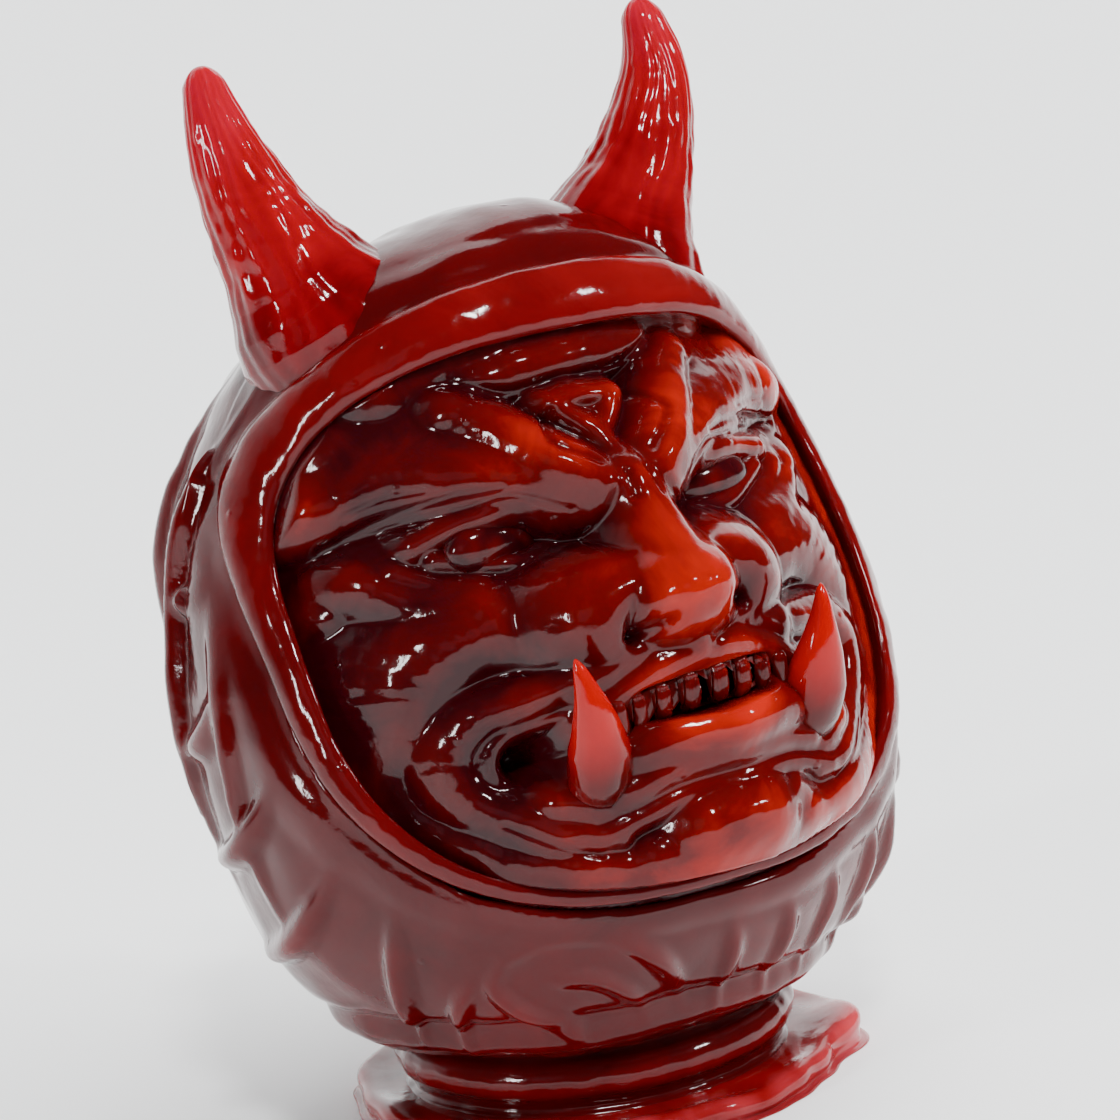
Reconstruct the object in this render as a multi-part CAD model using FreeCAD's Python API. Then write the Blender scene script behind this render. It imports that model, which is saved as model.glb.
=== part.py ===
# Small oni-faced daruma figurine, cast in red translucent resin.
# Millimetres. +Z up, the face looks along -Y, +X is the figurine's own left.
# The origin is the centre of the flat underside.
import FreeCAD
import Part
import math
import os

Vec = FreeCAD.Vector

# ---- driving dimensions -------------------------------------------------
BODY_TOP = 42.0            # crown of the hood above the table
BODY_HALF_WIDTH = 16.9     # half width at the widest level
WIDEST_AT = 18.0           # height of the widest level
BELOW_SPAN = 17.7          # the lower curve would close this far below it
DEPTH_RATIO = 0.9          # depth over width of each section
ROUNDNESS = 2.12           # exponent of the side outline
LEAN_BASE = 0.7            # how far back the section centres sit
LEAN_HEAD = 3.6            # extra lean of the head
LEAN_AT = 30.0
LEAN_SPREAD = 9.0
HEM_Z = 4.2                # underside of the robe
FOOT_TOP = HEM_Z           # the neck meets the robe's underside
FOOT_RADIUS = 9.2
FLASH_THICK = 1.3          # thickness of the pour flash round the foot
FLASH_RADIUS = 11.5

FACE_CENTRE = (0.0, -10.4, 25.5)
FACE_LEAN = 12.4           # degrees the face looks upwards
FACE_TILT = 3.5            # degrees the features sit turned in the hood
OPENING_HALF_WIDTH = 14.1
OPENING_TOP = 12.75        # above the widest level of the opening
OPENING_BOTTOM = 12.3      # below it
OPENING_MID = -1.0
FACE_SEAT = -10.0          # depth of the flat seat behind the face
RIM_HEIGHT = 0.7          # hood rim above the robe
RIM_TOP_WIDTH = 2.9
RIM_SIDE_WIDTH = 1.0
RIM_CHIN_WIDTH = 0.5

HORN_BASE_RADIUS = 3.8
# across, back, and up or down from the crown
HORN_PATH = [(7.7, 2.3, -5.6), (8.6, 2.6, -3.0), (9.9, 3.1, 0.6), (11.0, 3.8, 4.3), (11.3, 4.6, 7.9)]
HORN_TAPER = [1.0, 1.0, 0.66, 0.5, 0.17]
TUSK_BASE_RADIUS = 1.3
TUSK_PATH = [(5.2, -8.0, 0.4), (5.4, -6.8, 2.2), (5.7, -4.9, 3.7), (6.1, -3.2, 4.4), (6.2, -2.2, 4.6)]
TUSK_TAPER = [1.0, 1.0, 0.85, 0.62, 0.3]
EYE_AT = (4.8, 3.4)
EYE_RADIUS = 2.0
EYE_CREST = -0.7
MOUTH_HALF_WIDTH = 4.5
MOUTH_FLOOR = 1.5
TOOTH_TOP_V = -3.9
TOOTH_TIP_V = -5.7
TOOTH_FRONT = 3.3


# ---- outline of the body ------------------------------------------------
def half_width(z):
    if z >= WIDEST_AT:
        t = (z - WIDEST_AT) / (BODY_TOP - WIDEST_AT)
    else:
        t = (WIDEST_AT - z) / BELOW_SPAN
    return BODY_HALF_WIDTH * math.sqrt(max(0.0, 1.0 - min(1.0, t) ** ROUNDNESS))


def lean(z):
    return LEAN_BASE + LEAN_HEAD * math.exp(-((z - LEAN_AT) / LEAN_SPREAD) ** 2)


def fold(angle, z):
    """Soft drapery folds on the robe, strongest at the back and low down."""
    low = 1.0 / (1.0 + math.exp((z - 24.0) / 2.5))
    hem = 1.0 - math.exp(-((z - HEM_Z) / 3.0) ** 2)
    back = 0.35 + 0.65 * max(0.0, math.sin(angle)) ** 0.5 if math.sin(angle) > 0 else 0.35
    return 0.3 * low * hem * back * math.cos(9.0 * angle + 0.11 * z)


def section(z, grow):
    count = 40
    points = []
    for i in range(count):
        angle = 2.0 * math.pi * i / count
        width = half_width(z) + grow
        extra = fold(angle, z) if grow == 0.0 else 0.0
        x = (width + extra) * math.cos(angle)
        y = lean(z) + (DEPTH_RATIO * width + extra) * math.sin(angle)
        points.append(Vec(x, y, z))
    curve = Part.BSplineCurve()
    steps = [float(i) for i in range(count + 1)]
    curve.interpolate(Points=points, PeriodicFlag=True, Parameters=steps)
    return Part.Wire([curve.toShape()])


def egg(grow, low, high, count):
    wires = []
    for i in range(count):
        s = math.sin(0.5 * math.pi * i / (count - 1))
        wires.append(section(low + (high - low) * s, grow))
    return Part.makeLoft(wires, True, False)


# ---- the face's own frame: u across, v up, h out ------------------------
def face_point(u, v, h):
    a = math.radians(FACE_LEAN)
    x, y, z = FACE_CENTRE
    y += v * math.sin(a) - h * math.cos(a)
    z += v * math.cos(a) + h * math.sin(a)
    return Vec(x + u, y, z)


def face_normal():
    a = math.radians(FACE_LEAN)
    return Vec(0.0, -math.cos(a), math.sin(a))


def tilted(u, v):
    a = math.radians(FACE_TILT)
    return u * math.cos(a) - v * math.sin(a), u * math.sin(a) + v * math.cos(a)


def untilted(u, v):
    a = math.radians(-FACE_TILT)
    return u * math.cos(a) - v * math.sin(a), u * math.sin(a) + v * math.cos(a)


def robe_height(u, v):
    """Height of the plain body surface over a point of the face plane."""
    low = -16.0
    high = 8.0
    for _ in range(26):
        mid = 0.5 * (low + high)
        p = face_point(u, v, mid)
        w = half_width(p.z)
        if w > 0.5 and (p.x / w) ** 2 + ((p.y - lean(p.z)) / (DEPTH_RATIO * w)) ** 2 < 1.0:
            low = mid
        else:
            high = mid
    return low


def opening_wire(side, top, bottom, depth):
    """Closed outline of the opening, grown by the given widths."""
    points = []
    count = 48
    for i in range(count):
        angle = 2.0 * math.pi * i / count
        c = math.cos(angle)
        s = math.sin(angle)
        power = 3.2 if s > 0 else 2.5
        reach = (OPENING_TOP + top) if s > 0 else (OPENING_BOTTOM + bottom)
        u = (OPENING_HALF_WIDTH + side) * math.copysign(abs(c) ** (2.0 / power), c)
        v = OPENING_MID + reach * math.copysign(abs(s) ** (2.0 / power), s)
        points.append(face_point(u, v, depth))
    curve = Part.BSplineCurve()
    curve.interpolate(Points=points, PeriodicFlag=True)
    return Part.Wire([curve.toShape()])


def opening_prism(side, top, bottom, low, high):
    base = Part.Face(opening_wire(side, top, bottom, low))
    return base.extrude(face_normal() * (high - low))


# ---- relief of the face -------------------------------------------------
# Each roll is a list of (u, v, crest height) with one radius of curvature.
PAIRED_ROLLS = [
    ([(1.6, 4.9, 2.9), (3.0, 6.4, 2.0), (4.0, 7.8, 0.9), (5.0, 9.0, -0.7)], 0.9),
    ([(2.0, 4.2, 2.7), (4.1, 5.7, 1.1), (6.3, 6.9, -0.8), (8.8, 7.6, -2.8), (11.0, 7.6, -5.0)], 1.2),
    ([(5.6, 8.2, -1.3), (7.6, 8.6, -2.9)], 2.4),
    ([(2.7, 3.4, -0.6), (4.0, 4.9, 0.0), (5.8, 5.2, -0.8), (7.6, 4.6, -2.2)], 0.5),
    ([(2.8, 2.7, -0.6), (4.2, 1.9, -0.2), (6.0, 1.8, -0.9), (7.6, 2.8, -2.3)], 0.5),
    ([(3.2, 1.5, 0.2), (5.0, 0.6, 0.3), (7.2, 0.8, -0.8), (9.4, 2.4, -3.2)], 0.9),
    ([(1.3, -0.7, 5.4), (2.6, -0.6, 4.0), (3.8, -1.0, 3.0), (3.6, -2.0, 2.8)], 1.1),
    ([(5.2, -0.3, 0.9), (7.4, -0.2, 0.2), (9.6, -0.9, -1.3), (11.0, -3.2, -2.8)], 2.8),
    ([(4.4, -2.6, 2.6), (6.6, -2.8, 1.4), (9.0, -3.2, 0.0), (10.3, -4.8, -1.2), (9.8, -6.6, -0.8)], 0.8),
    ([(9.8, -6.6, -0.8), (8.6, -8.6, 0.4), (7.0, -9.6, 1.4), (5.4, -10.1, 2.0)], 0.8),
    ([(11.6, -6.0, -3.2), (10.4, -8.6, -1.4), (7.8, -10.9, 0.8), (4.6, -12.2, 2.0)], 1.5),
    ([(4.5, 10.2, -2.4), (8.0, 9.8, -4.6)], 2.5),
]
CENTRE_ROLLS = [
    ([(0.0, 4.2, 3.0), (0.0, 2.2, 4.3), (0.0, 0.2, 6.1)], 1.3),
    ([(0.0, -0.6, 6.9), (0.0, -1.0, 7.0)], 1.7),
    ([(-5.4, -5.4, 2.2), (-3.9, -4.2, 3.3), (-2.0, -3.4, 4.2), (0.0, -3.2, 4.5),
      (2.0, -3.4, 4.2), (3.9, -4.2, 3.3), (5.4, -5.4, 2.2)], 0.8),
    ([(-6.2, -8.4, 1.5), (-4.0, -7.2, 3.6), (-1.5, -6.9, 4.7), (1.5, -6.9, 4.7),
      (4.0, -7.2, 3.6), (6.2, -8.4, 1.5)], 0.85),
    ([(-5.4, -10.0, 2.0), (-2.8, -9.2, 3.1), (0.0, -9.0, 3.5), (2.8, -9.2, 3.1), (5.4, -10.0, 2.0)], 0.55),
    ([(-1.8, -11.0, 4.0), (1.8, -11.0, 4.0)], 1.9),
    ([(0.0, 6.6, 1.2), (-0.8, 8.6, 0.3), (0.8, 8.6, 0.3), (0.0, 6.6, 1.2)], 1.1),
    ([(-2.5, 10.4, -1.6), (2.5, 10.4, -1.6)], 2.4),
]


def roll_height(u, v, points, radius):
    best = -50.0
    for (u0, v0, h0), (u1, v1, h1) in zip(points[:-1], points[1:]):
        du = u1 - u0
        dv = v1 - v0
        t = ((u - u0) * du + (v - v0) * dv) / (du * du + dv * dv)
        t = min(1.0, max(0.0, t))
        away = (u - u0 - t * du) ** 2 + (v - v0 - t * dv) ** 2
        best = max(best, h0 + t * (h1 - h0) - away / (2.0 * radius))
    return best


def blend(values, soft):
    top = max(values)
    return top + soft * math.log(sum(math.exp((x - top) / soft) for x in values))


def relief(u, v):
    """Height of the face over the face plane."""
    side, up = untilted(u, v)
    heights = [robe_height(u, v) - 1.5]
    for points, radius in CENTRE_ROLLS:
        heights.append(roll_height(side, up, points, radius))
    for points, radius in PAIRED_ROLLS:
        heights.append(roll_height(abs(side), up, points, radius))
    height = blend(heights, 0.18)
    across = (abs(side) / MOUTH_HALF_WIDTH) ** 4
    mouth = MOUTH_FLOOR + 9.0 * across + 3.4 * (abs(up + 5.3) / 1.0) ** 4
    return -blend([-height, -mouth], 0.15)


def spread(count):
    """Pole places from 0 to 1 that keep a cubic surface evenly spaced."""
    spans = count - 3
    knots = [0.0] * 3 + [float(i) for i in range(spans + 1)] + [float(spans)] * 3
    return [sum(knots[i + 1:i + 4]) / 3.0 / spans for i in range(count)]


def face_casting():
    across = 40
    up = 36
    poles = []
    for s in spread(across):
        u = -15.2 + 30.4 * s
        poles.append([face_point(u, -14.3 + 27.1 * t, relief(u, -14.3 + 27.1 * t)) for t in spread(up)])
    knots_u = [float(i) for i in range(across - 2)]
    knots_v = [float(i) for i in range(up - 2)]
    turns_u = [4] + [1] * (across - 4) + [4]
    turns_v = [4] + [1] * (up - 4) + [4]
    surface = Part.BSplineSurface()
    surface.buildFromPolesMultsKnots(poles, turns_u, turns_v, knots_u, knots_v, False, False, 3, 3)
    block = surface.toShape().extrude(face_normal() * -22.0)
    return block.common(opening_prism(0.0, 0.0, 0.0, FACE_SEAT, 12.0))


# ---- horns, tusks, eyes, teeth ------------------------------------------
def tapered(path, radii):
    """Round tapered body through the points, with a rounded blunt tip."""
    spine = Part.BSplineCurve()
    spine.interpolate(Points=path)
    first = spine.FirstParameter
    last = spine.LastParameter
    steps = 14
    wires = []
    for i in range(steps + 1):
        s = i / steps
        at = first + (last - first) * s
        slot = min(len(radii) - 2, int(s * (len(radii) - 1)))
        part = s * (len(radii) - 1) - slot
        radius = radii[slot] + (radii[slot + 1] - radii[slot]) * part
        circle = Part.Circle(spine.value(at), spine.tangent(at)[0], radius)
        wires.append(Part.Wire([circle.toShape()]))
    end = spine.value(last)
    ahead = spine.tangent(last)[0]
    circle = Part.Circle(end + ahead * (0.6 * radii[-1]), ahead, 0.55 * radii[-1])
    wires.append(Part.Wire([circle.toShape()]))
    return Part.makeLoft(wires, True, False)


def horn(side):
    path = [Vec(side * x, y, BODY_TOP + z) for x, y, z in HORN_PATH]
    return tapered(path, [HORN_BASE_RADIUS * k for k in HORN_TAPER])


def tusk(side):
    path = []
    for u, v, h in TUSK_PATH:
        across, up = tilted(side * u, v)
        path.append(face_point(across, up, h))
    return tapered(path, [TUSK_BASE_RADIUS * k for k in TUSK_TAPER])


def eye(side):
    across, up = tilted(side * EYE_AT[0], EYE_AT[1])
    return Part.makeSphere(EYE_RADIUS, face_point(across, up, EYE_CREST - EYE_RADIUS))


def tooth(middle, width, tip):
    """One tapered tooth hanging from the upper gum."""
    wires = []
    for v, half, front in ((TOOTH_TOP_V, 0.5 * width, TOOTH_FRONT), (tip, 0.38 * width, TOOTH_FRONT - 0.25)):
        corners = []
        for u, h in ((-half, 0.4), (half, 0.4), (half, front), (-half, front)):
            across, up = tilted(middle + u, v)
            corners.append(face_point(across, up, h - 0.12 * abs(middle)))
        wires.append(Part.makePolygon(corners + [corners[0]]))
    return Part.makeLoft(wires, True, True)


def upper_teeth():
    row = None
    for middle, width, tip in ((-3.1, 1.35, -5.4), (-1.85, 1.25, -5.6), (-0.6, 1.35, TOOTH_TIP_V),
                               (0.7, 1.35, TOOTH_TIP_V), (1.95, 1.25, -5.6), (3.15, 1.25, -5.4)):
        piece = tooth(middle, width, tip)
        row = piece if row is None else row.fuse(piece)
    return row


# ---- foot and flash -----------------------------------------------------
def foot_ring():
    r = FOOT_RADIUS
    z0 = FLASH_THICK
    points = [Vec(0, 0, z0), Vec(r + 0.5, 0, z0), Vec(r + 0.1, 0, z0 + 0.5), Vec(r + 0.35, 0, z0 + 1.5),
              Vec(r - 0.4, 0, FOOT_TOP - 0.4), Vec(r - 0.5, 0, FOOT_TOP), Vec(0, 0, FOOT_TOP)]
    outline = Part.Face(Part.makePolygon(points + [points[0]]))
    ring = outline.revolve(Vec(0, 0, 0), Vec(0, 0, 1), 360)
    ring.translate(Vec(0, 0.5, 0))
    return ring


def flash_wire(z, inset):
    points = []
    count = 36
    for i in range(count):
        angle = 2.0 * math.pi * i / count
        wave = 0.28 * math.sin(3.0 * angle + 0.6) + 0.16 * math.sin(7.0 * angle + 2.0)
        lump = 0.9 * math.exp(-((angle - 5.35) / 0.32) ** 2)
        tongue = 0.7 * math.exp(-((angle - 3.75) / 0.2) ** 2)
        r = FLASH_RADIUS + wave + lump + tongue - inset
        points.append(Vec(r * math.cos(angle), 0.3 + r * math.sin(angle), z))
    curve = Part.BSplineCurve()
    curve.interpolate(Points=points, PeriodicFlag=True)
    return Part.Wire([curve.toShape()])


def pour_flash():
    levels = ((0.0, 0.25), (0.25, 0.06), (0.6, 0.0), (1.0, 0.2), (FLASH_THICK, 0.7))
    return Part.makeLoft([flash_wire(z, inset) for z, inset in levels], True, False)


def robe_body():
    body = egg(0.0, HEM_Z, BODY_TOP - 0.04, 30)
    rim_high = egg(RIM_HEIGHT, 9.0, BODY_TOP - 0.3, 26)
    rim_low = egg(0.5 * RIM_HEIGHT, 9.0, BODY_TOP - 0.3, 26)
    wide = opening_prism(RIM_SIDE_WIDTH, RIM_TOP_WIDTH, RIM_CHIN_WIDTH, -9.0, 12.0)
    narrow = opening_prism(0.6 * RIM_SIDE_WIDTH, 0.8 * RIM_TOP_WIDTH, 0.6 * RIM_CHIN_WIDTH, -9.0, 12.0)
    body = body.fuse(rim_low.common(wide))
    body = body.fuse(rim_high.common(narrow))
    return body.cut(opening_prism(0.0, 0.0, 0.0, FACE_SEAT, 14.0))


def single(shape):
    """The largest solid of a boolean result."""
    return max(shape.Solids, key=lambda solid: solid.Volume)


def save(name, shape):
    shape.exportStep("parts/" + name + ".step")
    print(name, round(shape.Volume, 2), shape.isValid(), len(shape.Solids), len(shape.Faces))


def main():
    os.makedirs("parts", exist_ok=True)
    horns = {"left_horn": horn(1), "right_horn": horn(-1)}
    tusks = {"left_tusk": tusk(1), "right_tusk": tusk(-1)}
    eyes = {"left_eye": eye(1), "right_eye": eye(-1)}
    teeth = upper_teeth()
    face = face_casting()
    for piece in list(tusks.values()) + list(eyes.values()) + [teeth]:
        face = face.cut(piece)
    robe = robe_body()
    for piece in horns.values():
        robe = robe.cut(piece)
    save("robe_body", single(robe))
    save("face", single(face))
    for pieces in (horns, tusks, eyes):
        for name, piece in pieces.items():
            save(name, piece)
    save("upper_teeth", teeth)
    save("foot_ring", foot_ring())
    save("pour_flash", pour_flash())


main()
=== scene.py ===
"""Small oni-faced daruma figurine in wet-looking red casting resin.

The sculpting is done in millimetres and written to the meshes in metres.
u runs across the face, v up it and h out of it.
"""
import bpy
import bmesh
import math
import numpy as np
from mathutils import Matrix, Vector


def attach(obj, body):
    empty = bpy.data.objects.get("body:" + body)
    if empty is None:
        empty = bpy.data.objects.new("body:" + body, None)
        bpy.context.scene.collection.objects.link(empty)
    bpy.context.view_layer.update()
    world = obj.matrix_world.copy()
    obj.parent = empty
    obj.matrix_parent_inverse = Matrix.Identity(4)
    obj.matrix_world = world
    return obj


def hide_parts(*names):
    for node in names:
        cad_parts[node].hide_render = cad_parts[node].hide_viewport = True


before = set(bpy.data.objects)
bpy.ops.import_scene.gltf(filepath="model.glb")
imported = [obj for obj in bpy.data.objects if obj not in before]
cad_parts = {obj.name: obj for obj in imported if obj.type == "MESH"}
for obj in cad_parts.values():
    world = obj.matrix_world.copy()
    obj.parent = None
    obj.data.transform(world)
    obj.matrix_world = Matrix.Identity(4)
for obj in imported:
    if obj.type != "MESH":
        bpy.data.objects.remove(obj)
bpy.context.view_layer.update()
rng = np.random.default_rng(7)

# ---- sizes shared with the CAD, in millimetres --------------------------
BODY_TOP = 42.0
BODY_HALF_WIDTH = 16.9
WIDEST_Z = 18.0
HEM_Z = 4.2
DEPTH_SHARE = 0.9
OPENING_HALF_WIDTH = 14.1
OPENING_RISE = 12.75
OPENING_DROP = 12.3
OPENING_MIDDLE_V = -1.0
FACE_CENTRE = np.array([0.0, -10.4, 25.5])
FACE_LEAN = math.radians(12.4)
FACE_TILT = math.radians(3.5)
ACROSS = np.array([1.0, 0.0, 0.0])
UPWARD = np.array([0.0, math.sin(FACE_LEAN), math.cos(FACE_LEAN)])
OUTWARD = np.array([0.0, -math.cos(FACE_LEAN), math.sin(FACE_LEAN)])


def half_width(z):
    """Half the width of the plain robe at a height."""
    t = np.where(z >= WIDEST_Z, (z - WIDEST_Z) / (BODY_TOP - WIDEST_Z), (WIDEST_Z - z) / 17.7)
    return BODY_HALF_WIDTH * np.sqrt(np.clip(1.0 - np.clip(t, 0.0, 1.0) ** 2.12, 0.0, None))


def lean(z):
    """How far back the middle of the robe lies at a height."""
    return 0.7 + 3.6 * np.exp(-((z - 30.0) / 9.0) ** 2)


def face_point(u, v, h):
    """The point in the figurine's own space of a place on the face plane."""
    u, v, h = np.broadcast_arrays(*(np.asarray(a, float) for a in (u, v, h)))
    return FACE_CENTRE + u[..., None] * ACROSS + v[..., None] * UPWARD + h[..., None] * OUTWARD


def face_place(points):
    """The reverse of face_point."""
    d = points - FACE_CENTRE
    return d @ ACROSS, d @ UPWARD, d @ OUTWARD


def skin_height(u, v):
    """Height of the plain robe surface over each point of the face plane."""
    low = np.full(np.shape(u), -16.0)
    high = np.full(np.shape(u), 8.0)
    for _ in range(24):
        mid = 0.5 * (low + high)
        p = face_point(u, v, mid)
        w = np.maximum(half_width(p[..., 2]), 0.3)
        inside = (p[..., 0] / w) ** 2 + ((p[..., 1] - lean(p[..., 2])) / (DEPTH_SHARE * w)) ** 2 < 1.0
        low = np.where(inside, mid, low)
        high = np.where(inside, high, mid)
    return low


def opening(count):
    """Points (u, v) round the edge of the opening in the hood."""
    a = np.linspace(0.0, 2.0 * np.pi, count, endpoint=False)
    c, s = np.cos(a), np.sin(a)
    power = np.where(s > 0, 3.2, 2.5)
    reach = np.where(s > 0, OPENING_RISE, OPENING_DROP)
    u = OPENING_HALF_WIDTH * np.sign(c) * np.abs(c) ** (2.0 / power)
    v = OPENING_MIDDLE_V + reach * np.sign(s) * np.abs(s) ** (2.0 / power)
    return u, v


def smooth_step(a, b, x):
    """Ease from 0 at a to 1 at b."""
    t = np.clip((x - a) / (b - a), 0.0, 1.0)
    return t * t * (3.0 - 2.0 * t)


# ---- repeatable cloudy noise --------------------------------------------
WAVES = rng.normal(size=(28, 3))
WAVES /= np.linalg.norm(WAVES, axis=1)[:, None]
PHASES = rng.uniform(0.0, 2.0 * np.pi, 28)
PITCHES = rng.uniform(0.7, 1.6, 28)


def cloud(points, pitch, start=0):
    """Smooth random field of about -1 to 1 with features of one pitch."""
    total = np.zeros(points.shape[:-1])
    for k in range(start, start + 14):
        j = k % 28
        total += np.sin(points @ WAVES[j] * (2.0 * np.pi / pitch * PITCHES[j]) + PHASES[j])
    return total / 4.5


# ---- strokes -------------------------------------------------------------
def along(u, v, stroke, ease=0.9):
    """Distance to a stroke, and the stroke's own values there, eased from place to place."""
    stroke = np.asarray(stroke, float)
    parts = []
    for p, q in zip(stroke[:-1], stroke[1:]):
        du, dv = q[0] - p[0], q[1] - p[1]
        t = np.clip(((u - p[0]) * du + (v - p[1]) * dv) / max(du * du + dv * dv, 1e-9), 0.0, 1.0)
        parts.append(((u - p[0] - t * du) ** 2 + (v - p[1] - t * dv) ** 2, t, math.hypot(du, dv)))
    near = np.min([away for away, _, _ in parts], axis=0)
    total = np.zeros(u.shape)
    found = np.zeros(u.shape + (stroke.shape[1] - 2,))
    for (away, t, length), p, q in zip(parts, stroke[:-1], stroke[1:]):
        weight = length * np.exp(-np.minimum((away - near) / ease ** 2, 60.0))
        total += weight
        found += weight[..., None] * (p[2:] + t[..., None] * (q[2:] - p[2:]))
    return np.sqrt(near), found / total[..., None]


def rounded(stroke, steps=4):
    """The stroke with its corners rounded off through its points."""
    s = np.asarray(stroke, float)
    if len(s) < 3:
        return s
    ends = np.vstack([2 * s[0] - s[1], s, 2 * s[-1] - s[-2]])
    out = []
    for i in range(1, len(ends) - 2):
        a, b, c, d = ends[i - 1], ends[i], ends[i + 1], ends[i + 2]
        for t in np.arange(steps) / steps:
            out.append(0.5 * (2 * b + (c - a) * t + (2 * a - 5 * b + 4 * c - d) * t * t
                              + (3 * b - a - 3 * c + d) * t ** 3))
    out.append(s[-1])
    return np.array(out)


# Rolls of clay on each side of the face: (u, v, crest height, radius).
SIDE_ROLLS = [
    # inner brow ridge, sweeping up and out from the bridge
    [(1.5, 4.7, 3.0, 0.7), (2.5, 5.6, 2.5, 0.8), (3.6, 7.0, 1.4, 0.75), (4.6, 8.4, 0.0, 0.7),
     (5.6, 9.4, -1.8, 0.6)],
    # broad brow over the eye
    [(1.8, 4.2, 2.7, 0.7), (3.6, 5.6, 1.5, 1.0), (6.0, 6.5, -0.2, 1.5), (8.6, 7.1, -2.4, 1.6),
     (11.0, 6.8, -5.0, 1.2)],
    [(5.4, 7.6, -0.8, 2.2), (7.4, 8.1, -2.6, 2.2), (9.2, 8.4, -4.6, 1.8)],
    # upper and lower lids
    [(2.7, 3.2, -0.8, 0.3), (3.5, 4.2, -0.1, 0.4), (4.9, 4.6, 0.1, 0.45), (6.6, 4.5, -0.8, 0.45),
     (8.8, 4.1, -2.7, 0.35)],
    [(2.7, 3.0, -0.8, 0.25), (3.6, 2.4, -0.3, 0.3), (5.0, 2.2, -0.2, 0.32), (6.6, 2.5, -0.9, 0.3),
     (8.2, 3.3, -2.3, 0.25)],
    # folds under the eye
    [(2.8, 2.0, -0.1, 0.3), (4.2, 1.3, 0.15, 0.35), (6.2, 1.3, -0.4, 0.35), (8.4, 2.2, -1.8, 0.3),
     (9.8, 3.4, -3.4, 0.3)],
    [(3.2, 1.0, 0.4, 0.5), (5.0, 0.2, 0.7, 0.7), (7.4, 0.6, 0.0, 0.8), (9.2, 1.7, -1.8, 0.8),
     (10.6, 3.2, -4.0, 0.7)],
    # temple
    [(8.8, 3.6, -2.6, 0.8), (10.2, 3.2, -4.0, 1.0), (11.6, 2.0, -5.8, 0.8)],
    # wing of the nose
    [(1.4, 0.1, 4.8, 0.5), (2.6, -0.1, 4.4, 0.8), (3.4, -0.8, 4.3, 1.4), (3.6, -1.4, 4.0, 1.4),
     (3.1, -2.2, 3.4, 0.7), (2.2, -2.4, 3.8, 0.45)],
    # cheek
    [(5.0, -0.8, 1.1, 0.9), (6.6, -0.7, 0.8, 1.6), (8.2, -1.0, -0.3, 2.0), (9.4, -2.4, -1.7, 2.0),
     (10.0, -4.2, -2.9, 1.6)],
    # ring from the nose round the corner of the mouth
    [(4.4, -2.4, 2.5, 0.35), (5.6, -3.3, 2.1, 0.45), (7.2, -3.7, 1.1, 0.6), (8.8, -4.0, -0.4, 0.7),
     (9.7, -5.2, -1.5, 0.75),
     (9.5, -6.8, -1.3, 0.75), (8.3, -8.3, 0.2, 0.75), (6.9, -9.5, 1.6, 0.65), (5.0, -10.1, 2.4, 0.45)],
    [(5.4, -4.7, 1.9, 0.3), (7.0, -4.8, 0.8, 0.35), (8.2, -5.1, -0.4, 0.35), (8.6, -6.1, -1.0, 0.35),
     (8.0, -7.3, -0.5, 0.35),
     (7.0, -8.3, 0.9, 0.35), (5.6, -8.9, 1.9, 0.3)],
    # jaw folds
    [(11.6, -4.6, -5.0, 1.0), (10.9, -7.2, -3.4, 1.0), (9.3, -9.2, -1.1, 1.0), (7.0, -10.8, 1.2, 0.9),
     (4.6, -11.7, 2.2, 0.7)],
    [(11.2, -8.4, -3.9, 0.7), (9.5, -10.2, -1.4, 0.7), (7.2, -11.8, 0.4, 0.6), (4.6, -12.8, 1.2, 0.5)],
    # socket of the tusk
    [(4.2, -8.0, 2.5, 0.6), (5.4, -8.9, 2.4, 0.7), (6.7, -8.1, 1.7, 0.6)],
]
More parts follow.
